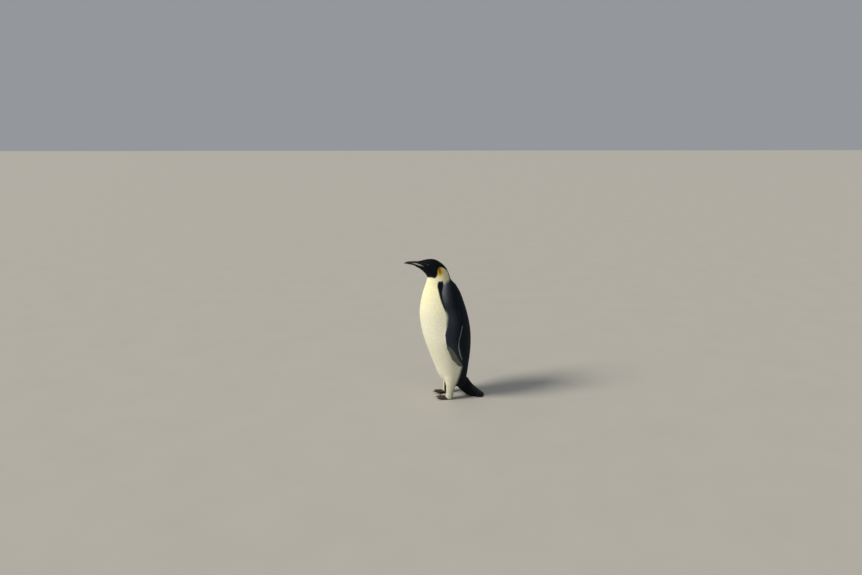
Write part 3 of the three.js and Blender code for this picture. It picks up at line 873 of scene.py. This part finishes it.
# Stretch: the ground it is sown on, and a slot name.
COATS = {
    "head": ("head", "black_plumage"),
    "neck": ("body", "yellow_plumage"),
    "breast_left": ("body", "cream_plumage"),
    "breast_right": ("body", "cream_plumage"),
    "back_left": ("body", "grey_plumage"),
    "back_right": ("body", "grey_plumage"),
    "flipper_left": ("flippers", "grey_plumage"),
    "flipper_right": ("flippers", "grey_plumage"),
    "legs": ("body", "cream_plumage"),
    "tail": ("tail", "black_plumage"),
    "feet": ("feet", "foot_skin"),
}
for name, (ground, slot) in COATS.items():
    blade, spacing, slimness, lift_deg, stray_by = SOWING[ground]
    piece_name = "foot_scutes" if name == "feet" else f"coat_{name}"
    coat = new_object(piece_name, hide_mesh.copy())
    grow = coat.modifiers.new("grow", "NODES")
    grow.node_group = coat_tree
    finish = scute_finish if name == "feet" else feather_finish
    for socket, value in (
        ("Feather", blade), ("Finish", finish), ("Ground", GROUNDS.index(ground)),
        ("Stretch", STRETCHES.index(name)), ("Spacing", spacing), ("Slimness", slimness),
        ("Lift", math.radians(lift_deg)), ("Stray", stray_by),
    ):
        grow[socket_of[socket]] = value
    coat_mesh = baked(coat)
    kept = {"OFBake", "vane", "tint", "sharp_edge", *MARKINGS}
    spare = [a.name for a in coat_mesh.attributes if not (a.is_internal or a.is_required)]
    for unread in sorted(set(spare) - kept):
        coat_mesh.attributes.remove(coat_mesh.attributes[unread])
    coat_mesh.materials.pop(index=0)
    corners = read(coat_mesh.vertices, "co", 3)
    corners[:, 2] = np.maximum(corners[:, 2], FLOOR_CLEARANCE)
    coat_mesh.vertices.foreach_set("co", corners.ravel())
    coat = new_object(piece_name, coat_mesh)
    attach(coat, "root")

# ---- Tail vanes -----------------------------------------------------------------------------
# The tail proper is a fan of long stiff quills that props the bird up from behind. Each is a
# thin keeled blade laid along the hide, overlapping its neighbour, and bent flat at the floor.

TAIL_VANES = 13
VANE_ROWS = 14
VANE_HALF_WIDTH = 0.0088
VANE_THICKNESS = 0.0006
VANE_STEP = 0.0019
VANE_KEEL = 0.0012
VANE_SINK = 0.0020
VANE_START = 0.062
VANE_EMERGES = 0.45
TAIL_REACH = 0.169
TAIL_SIDES_LOSS = 0.010
TAIL_WEAR = 0.002
TAIL_ROOT_SHARE = 0.74
VANE_STACK = 1.6
VANE_HUG = 0.94
VANE_CEILING = 0.135
TAIL_FAN_HALF = 0.051

hide_tree = BVHTree.FromPolygons(
    [Vector(place) for place in places], [list(face.vertices) for face in hide_mesh.polygons]
)


def on_tail(across, out):
    """A place on the swung tail, by the distance across it and out from its root."""
    return (across * math.cos(TAIL_SWING) + out * math.sin(TAIL_SWING),
            TAIL_ROOT_Y - across * math.sin(TAIL_SWING) + out * math.cos(TAIL_SWING))


def hide_top(across, out):
    """The height of the hide's upper face at a place on the tail, or the floor's beyond it."""
    x, y = on_tail(across, out)
    hit = hide_tree.ray_cast(Vector((x, y, VANE_CEILING)), Vector((0, 0, -1)))[0]
    return hit.z if hit else 0.0


def tail_vane(share):
    """Corners, faces and vane coordinates of one quill; share runs -1 to 1 across the fan."""
    reach = TAIL_REACH - TAIL_SIDES_LOSS * share * share - TAIL_WEAR * math.cos(17 * share)
    outer = 1 if share > 0 else -1
    corners, spread = [], []
    for row in range(VANE_ROWS):
        t = row / (VANE_ROWS - 1)
        out = VANE_START + (reach - VANE_START) * t
        middle = TAIL_FAN_HALF * share * (TAIL_ROOT_SHARE + (1 - TAIL_ROOT_SHARE) * t)
        half = VANE_HALF_WIDTH * min(1, 0.75 + t) * math.sqrt(max(0.01, 1 - t ** 6))
        emerged = float(ramp(t, 0.0, VANE_EMERGES))
        stacked = VANE_STEP * (VANE_STACK - abs(share)) * emerged - VANE_SINK * (1 - emerged)
        for across in (-1, -0.5, 0, 0.5, 1):
            sideways = middle + across * half
            keel = VANE_KEEL * (1 - abs(across))
            slope = VANE_STEP * 0.5 * across * outer
            z = hide_top(sideways * VANE_HUG, out) + stacked + keel + slope * t
            z = max(z, FLOOR_CLEARANCE + VANE_THICKNESS + keel)
            corners.append((*on_tail(sideways, out), z))
            spread.append((0.5 + across / 2, t, share))
    top = len(corners)
    corners += [(x, y, z - VANE_THICKNESS) for x, y, z in corners]
    spread += spread
    faces = []
    for row in range(VANE_ROWS - 1):
        for column in range(4):
            a = 5 * row + column
            faces.append((a, a + 1, a + 6, a + 5))
            faces.append((top + a, top + a + 5, top + a + 6, top + a + 1))
        a = 5 * row
        faces.append((a, a + 5, top + a + 5, top + a))
        faces.append((a + 9, a + 4, top + a + 4, top + a + 9))
    last = 5 * (VANE_ROWS - 1)
    for column in range(4):
        faces.append((column + 1, column, top + column, top + column + 1))
        a = last + column
        faces.append((a, a + 1, top + a + 1, top + a))
    return corners, faces, spread


vane_corners, vane_faces, vane_spread = [], [], []
for i in range(TAIL_VANES):
    corners, faces, spread = tail_vane(2 * i / (TAIL_VANES - 1) - 1)
    vane_faces += [[len(vane_corners) + corner for corner in face] for face in faces]
    vane_corners += corners
    vane_spread += spread
tail_mesh = bpy.data.meshes.new("tail_vanes")
tail_mesh.from_pydata(vane_corners, [], vane_faces)
tail_mesh.polygons.foreach_set("use_smooth", np.ones(len(tail_mesh.polygons), bool))
tail_mesh.set_sharp_from_angle(angle=math.radians(50))
store(tail_mesh, "vane", np.array(vane_spread, np.float32), "FLOAT_VECTOR")

# Quills: stiff keratin, polished by wear. The eye gets near black with a low silky streak.
quill_finish, tree = new_material("stiff_quill")
vane = add(tree, "ShaderNodeAttribute", attribute_name="vane").outputs["Vector"]
across_along = add(tree, "ShaderNodeSeparateXYZ", {"Vector": vane})
off_shaft = add(tree, "ShaderNodeMath", {0: across_along, 1: 0.5}, operation="SUBTRACT")
off_shaft = add(tree, "ShaderNodeMath", {0: off_shaft}, operation="ABSOLUTE")
slant = add(tree, "ShaderNodeMath", {0: off_shaft, 1: -0.25, 2: across_along.outputs["Y"]},
            operation="MULTIPLY_ADD")
barb_lines = add(tree, "ShaderNodeCombineXYZ", {"X": across_along.outputs["Z"], "Y": slant})
# Real barbs are 0.3 mm apart on a quill, and these are drawn 90 to a quill, some 1.2 mm apart.
barbs = add(tree, "ShaderNodeTexNoise", {"Vector": barb_lines, "Scale": 90.0, "Detail": 2.0})
shade(tree, {"Base Color": layered(tree, "#090d11", (barbs, "#1a2127")), "Roughness": 0.55,
             "Specular IOR Level": 0.15}, relief=(barbs, 0.3, 0.0005))
tail_mesh.materials.append(quill_finish)
tail_vanes = new_object("tail_vanes", tail_mesh)
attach(tail_vanes, "root")

# ---- Eyes and lids --------------------------------------------------------------------------
# A wet dark ball with a brown iris, a black pupil and the bulge of the cornea, held in a ring
# of bare black lid with a rolled margin and one fold round it.

EYE_RADIUS = (eye_high.x - eye_low.x) / 2
IRIS_RADIUS = 0.0050
PUPIL_RADIUS = 0.0021
CORNEA_RISE = 0.0006
EYE_RINGS = 26
EYE_TURNS = 48
RING_CROWDING = 1.35
SPOKES_ROUND = 2.5
SPOKES_OUT = 60
LID_TURNS = 72
LID_HALF_LENGTH = 0.0064
LID_HALF_HEIGHT = 0.0050
LID_CORNER_PULL = 0.30
BROW_SWELL = 0.0003
EYE_PROUD = 0.0008
FACE_ROUND_EYE = 0.006
# How far out on the lid, as a share of the opening, and the height over the ball or the face.
LID_MARGIN = [(0.92, -0.0006), (0.98, 0.00005), (1.00, 0.0003), (1.04, 0.0005), (1.09, 0.0004)]
LID_FOLD = [(1.16, -0.0006), (1.24, -0.0008), (1.33, -0.0005), (1.43, -0.0009), (1.56, -0.0020),
            (1.72, -0.0040)]

# Eye: a wet clear cornea over a stained iris, which shows as a dark ball with one sharp glint.
eye_finish, tree = new_material("wet_eye")
ring = add(tree, "ShaderNodeAttribute", attribute_name="from_axis").outputs["Fac"]
turn = add(tree, "ShaderNodeAttribute", attribute_name="spoke").outputs["Vector"]
# The iris is threaded outwards from the pupil, its threads some 0.2 mm apart.
spokes = add(tree, "ShaderNodeTexNoise", {"Vector": turn, "Scale": 9.0, "Detail": 4.0})
iris = layered(tree, "#0c0807", (spokes, "#1f130c"))
past_pupil = add(tree, "ShaderNodeMapRange",
                 {"Value": ring, "From Min": PUPIL_RADIUS - 0.0002, "From Max": PUPIL_RADIUS})
past_iris = add(tree, "ShaderNodeMapRange",
                {"Value": ring, "From Min": IRIS_RADIUS - 0.0005, "From Max": IRIS_RADIUS})
eye_colour = layered(tree, "#020202", (past_pupil, iris), (past_iris, "#140c09"))
shade(tree, {"Base Color": eye_colour, "Roughness": 0.4, "Specular IOR Level": 0.05,
             "Coat Weight": 1.0, "Coat Roughness": 0.03, "Coat IOR": 1.38})

# Lid: bare moist skin, which shows as a soft grey-black with a grain of 0.7 mm.
lid_finish, tree = new_material("bare_lid_skin")
place = add(tree, "ShaderNodeTexCoord").outputs["Object"]
grain = add(tree, "ShaderNodeTexNoise",
            {"Vector": place, "Scale": marks_apart(0.6667), "Detail": 2.0})
shade(tree, {"Base Color": layered(tree, "#080808", (grain, "#191817")), "Roughness": 0.5,
             "Specular IOR Level": 0.3}, relief=(grain, 0.4, 0.0003))


def eye_frame(side):
    """The ball's centre and three directions: out of the head, forwards and upwards."""
    low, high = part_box(f"eye_{side}")
    centre = (np.array(low) + np.array(high)) / 2
    near = np.linalg.norm(places - centre, axis=1) < EYE_RADIUS + FACE_ROUND_EYE
    out = outwards[near].mean(axis=0)
    out /= np.linalg.norm(out)
    fore = np.array((0.0, -1.0, 0.0)) - out * -out[1]
    fore /= np.linalg.norm(fore)
    rise = np.cross(out, fore)
    return centre, out, fore, rise * np.sign(rise[2])


def ringed_mesh(name, rings, closed_ends):
    """A smooth surface through equal rings of corners; single points close its two ends."""
    count = len(rings[0])
    corners = [corner for one in rings for corner in one]
    faces = []
    for row in range(len(rings) - 1):
        for i in range(count):
            a, b = row * count + i, row * count + (i + 1) % count
            faces.append((a, b, b + count, a + count))
    if closed_ends:
        start, end = len(corners), len(corners) + 1
        corners += closed_ends
        last = (len(rings) - 1) * count
        for i in range(count):
            j = (i + 1) % count
            faces += [(start, j, i), (end, last + i, last + j)]
    mesh = bpy.data.meshes.new(name)
    mesh.from_pydata([tuple(corner) for corner in corners], [], faces)
    shell = bmesh.new()
    shell.from_mesh(mesh)
    bmesh.ops.recalc_face_normals(shell, faces=shell.faces)
    shell.to_mesh(mesh)
    shell.free()
    mesh.polygons.foreach_set("use_smooth", np.ones(len(mesh.polygons), bool))
    return mesh


for side in SIDES:
    centre, out, fore, rise = eye_frame(side)
    rings, from_axis, spoke = [], [], []
    for row in range(1, EYE_RINGS):
        angle = math.pi * (row / EYE_RINGS) ** RING_CROWDING
        radius = EYE_RADIUS * math.sin(angle)
        dome = max(0, 1 - (radius / IRIS_RADIUS) ** 2) if angle < math.pi / 2 else 0
        depth = EYE_RADIUS * math.cos(angle) + CORNEA_RISE * dome
        ring = []
        for i in range(EYE_TURNS):
            turn = 2 * math.pi * i / EYE_TURNS
            across = fore * math.cos(turn) + rise * math.sin(turn)
            ring.append(centre + out * depth + across * radius)
            from_axis.append(radius if angle < math.pi / 2 else 1.0)
            around_axis = (SPOKES_ROUND * math.cos(turn), SPOKES_ROUND * math.sin(turn))
            spoke.append((*around_axis, SPOKES_OUT * radius))
        rings.append(ring)
    front = centre + out * (EYE_RADIUS + CORNEA_RISE)
    mesh = ringed_mesh(f"eyeball_{side}", rings, [front, centre - out * EYE_RADIUS])
    from_axis += [0.0, 1.0]
    spoke += [(0, 0, 0), (0, 0, 1)]
    store(mesh, "from_axis", np.array(from_axis, np.float32))
    store(mesh, "spoke", np.array(spoke, np.float32), "FLOAT_VECTOR")
    mesh.materials.append(eye_finish)
    eyeball = new_object(f"eyeball_{side}", mesh)
    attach(eyeball, "root")
    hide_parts(f"eye_{side}")

    rings = []
    face_level = EYE_RADIUS - EYE_PROUD
    for stage, profile in enumerate((LID_MARGIN, LID_FOLD)):
        for share, height in profile:
            ring = []
            for i in range(LID_TURNS):
                turn = 2 * math.pi * i / LID_TURNS
                corner_pull = 1 - LID_CORNER_PULL * math.cos(turn) ** 4
                x = LID_HALF_LENGTH * share * math.cos(turn)
                y = LID_HALF_HEIGHT * share * math.sin(turn) * corner_pull
                radius = math.hypot(x, y)
                level = math.sqrt(EYE_RADIUS ** 2 - radius ** 2) if stage == 0 else face_level
                brow = BROW_SWELL * max(0, math.sin(turn)) if share > 1 else 0
                ring.append(centre + out * (level + height + brow) + fore * x + rise * y)
            rings.append(ring)
    mesh = ringed_mesh(f"eyelids_{side}", rings, [])
    mesh.materials.append(lid_finish)
    eyelids = new_object(f"eyelids_{side}", mesh)
    rounded = eyelids.modifiers.new("rounded", "SUBSURF")
    rounded.levels = rounded.render_levels = 1
    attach(eyelids, "root")

# ---- Bill and claws -------------------------------------------------------------------------
# Horn grown over bone: a long slim bill, hooked at its tip, with a groove along the upper half
# and a smooth pale lilac plate let into each side of the lower. The claws are the same horn.


def refined(name, voxel, softening, rounds):
    """A smooth fine copy of a CAD solid: remeshed, softened, then relaxed to and fro."""
    swell = HORN_SWELL + softening * SOFTENING_LOSS
    mesh = remeshed(cad_copy([name], swell), voxel)
    spots = read(mesh.vertices, "co", 3)
    links = read(mesh.edges, "vertices", 2, np.int32)
    everywhere = np.ones(len(spots))
    spots = relaxed(spots, links, softening, everywhere)
    for _ in range(rounds):
        spots = relaxed(spots, links, 1, everywhere)
        spots = relaxed(spots, links, 1, FRO * everywhere)
    mesh.vertices.foreach_set("co", spots.ravel())
    mesh.polygons.foreach_set("use_smooth", np.ones(len(mesh.polygons), bool))
    mesh.update()
    mesh.materials.clear()
    return mesh


def horn(name, dark, pale, roughness, streaks_apart, shade_span=None):
    """Horn with streaks some millimetres apart, and painted shade that may make it darker between
    two places along Y.
    """
    material, tree = new_material(name)
    place = add(tree, "ShaderNodeTexCoord").outputs["Object"]
    drawn_out = add(tree, "ShaderNodeMapping", {"Vector": place, "Scale": (1.0, 0.16, 1.0)})
    streaks = add(tree, "ShaderNodeTexNoise",
                  {"Vector": drawn_out, "Scale": marks_apart(streaks_apart), "Detail": 4.0})
    colour = layered(tree, dark, (streaks, pale))
    # Painted shade: darker between the two places along Y.
    if shade_span:
        back = add(tree, "ShaderNodeSeparateXYZ", {"Vector": place}).outputs["Y"]
        shaded = add(tree, "ShaderNodeMapRange",
                     {"Value": back, "From Min": shade_span[0], "From Max": shade_span[1]})
        colour = layered(tree, colour, (shaded, "#2b2524"))
    shade(tree, {"Base Color": colour, "Roughness": roughness}, relief=(streaks, 0.25, 0.0004))
    return material


# Softening draws a solid in by a loss a round, so it is swollen by that much first. To and
# fro, a round of smoothing is undone by one slightly stronger the other way: only ridges go.
HORN_SWELL = 0.0002
SOFTENING_LOSS = 0.000012
FRO = -1.06
# Voxel, rounds of softening, and rounds to and fro.
BILL_FINENESS = (0.0007, 26, 8)
PLATE_FINENESS = (0.0005, 8, 8)
CLAW_FINENESS = (0.0006, 4, 10)
PLATE_PAINTED_SHADE = (-0.168, -0.142)
# Bill: horn polished by preening. The eye gets brown-black with a satin streak along it.
bill_finish = horn("bill_horn", "#151211", "#322b28", 0.36, 3.85)
# Plate: thin waxy horn, a dull lilac, with painted shade making it darker where it runs in under
# the cheek's feathers.
plate_finish = horn("plate_horn", "#8b8280", "#b4aaa8", 0.33, 5, PLATE_PAINTED_SHADE)
# Claws: the same horn scraped by ice, so the eye gets a rougher dark brown.
claw_finish = horn("claw_horn", "#14100e", "#3a312b", 0.4, 2.38)

GROOVE_DEPTH = 0.0007
GROOVE_WIDTH = 0.0011
GROOVE_START = (0.186, 0.9300)
GROOVE_END = (0.252, 0.9335)
NOSTRIL = (0.2090, 0.9318)
NOSTRIL_LENGTH = 0.0042
NOSTRIL_HEIGHT = 0.0010
NOSTRIL_DEPTH = 0.0008

bill_mesh = refined("bill_upper", *BILL_FINENESS)
spots = read(bill_mesh.vertices, "co", 3)
normals = read(bill_mesh.vertex_normals, "vector", 3)
forward = ANKLE_Y - spots[:, 1]
height = spots[:, 2]
run = (forward - GROOVE_START[0]) / (GROOVE_END[0] - GROOVE_START[0])
groove_height = GROOVE_START[1] + (GROOVE_END[1] - GROOVE_START[1]) * run
groove = np.exp(-((height - groove_height) / GROOVE_WIDTH) ** 2)
groove *= ramp(run, -0.05, 0.1) * ramp(run, 1.05, 0.8)
slit = ((forward - NOSTRIL[0]) / NOSTRIL_LENGTH) ** 2
slit += ((height - NOSTRIL[1]) / NOSTRIL_HEIGHT) ** 2
spots -= normals * (GROOVE_DEPTH * groove + NOSTRIL_DEPTH * np.exp(-slit))[:, None]
bill_mesh.vertices.foreach_set("co", spots.ravel())
bill_mesh.update()

for name, mesh, finish, slot in [
    ("bill_upper", bill_mesh, bill_finish, "bill_horn"),
    ("bill_lower", refined("bill_lower", *BILL_FINENESS), bill_finish, "bill_horn"),
    *[(name, refined(name, *PLATE_FINENESS), plate_finish, "bill_plate") for name in PLATES],
    *[(name, refined(name, *CLAW_FINENESS), claw_finish, "claw") for name in CLAWS],
]:
    mesh.materials.append(finish)
    piece = new_object(f"{name}_horn", mesh)
    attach(piece, "root")
    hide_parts(name)

# ---- Floor and light ------------------------------------------------------------------------
# A plain pale studio floor under a soft key from the front, a weak lamp from the left and a
# pale even fill from all round.

FLOOR_HALF = 300
square = ((-1, -1), (1, -1), (1, 1), (-1, 1))
floor_corners = [(x * FLOOR_HALF, y * FLOOR_HALF, 0) for x, y in square]
floor_mesh = bpy.data.meshes.new("floor")
floor_mesh.from_pydata(floor_corners, [], [(0, 1, 2, 3)])
floor = new_object("floor", floor_mesh)
# Floor: matt paint rolled on. The eye gets a pale warm grey, all but even.
floor_finish, tree = new_material("matt_floor_paint")
place = add(tree, "ShaderNodeTexCoord").outputs["Object"]
mottle = add(tree, "ShaderNodeTexNoise", {"Vector": place, "Scale": marks_apart(333)})
shade(tree, {"Base Color": layered(tree, "#b9b6ae", (mottle, "#bfbcb4")), "Roughness": 0.9})
floor_mesh.materials.append(floor_finish)

world = bpy.data.worlds.new("studio")
world.use_nodes = True
fill = world.node_tree.nodes["Background"].inputs
fill["Color"].default_value = linear("#dfe4ea")
fill["Strength"].default_value = 0.40
scene.world = world


def soft_light(name, azimuth, elevation, power, spread, colour):
    """A distant lamp of a wide face; azimuth 0 shines from the bird's front, 90 from its left."""
    lamp = bpy.data.lights.new(name, "SUN")
    lamp.energy = power
    lamp.angle = math.radians(spread)
    lamp.color = linear(colour)[:3]
    obj = bpy.data.objects.new(name, lamp)
    turn, rise = math.radians(azimuth), math.radians(elevation)
    source = Vector((math.sin(turn) * math.cos(rise), -math.cos(turn) * math.cos(rise),
                     math.sin(rise)))
    obj.rotation_euler = source.to_track_quat("Z", "Y").to_euler()
    scene.collection.objects.link(obj)


soft_light("key", 8, 36, 2.9, 20, "#fff8ec")
soft_light("side", 95, 30, 0.12, 60, "#eef3fb")
scene.view_settings.view_transform = "Standard"
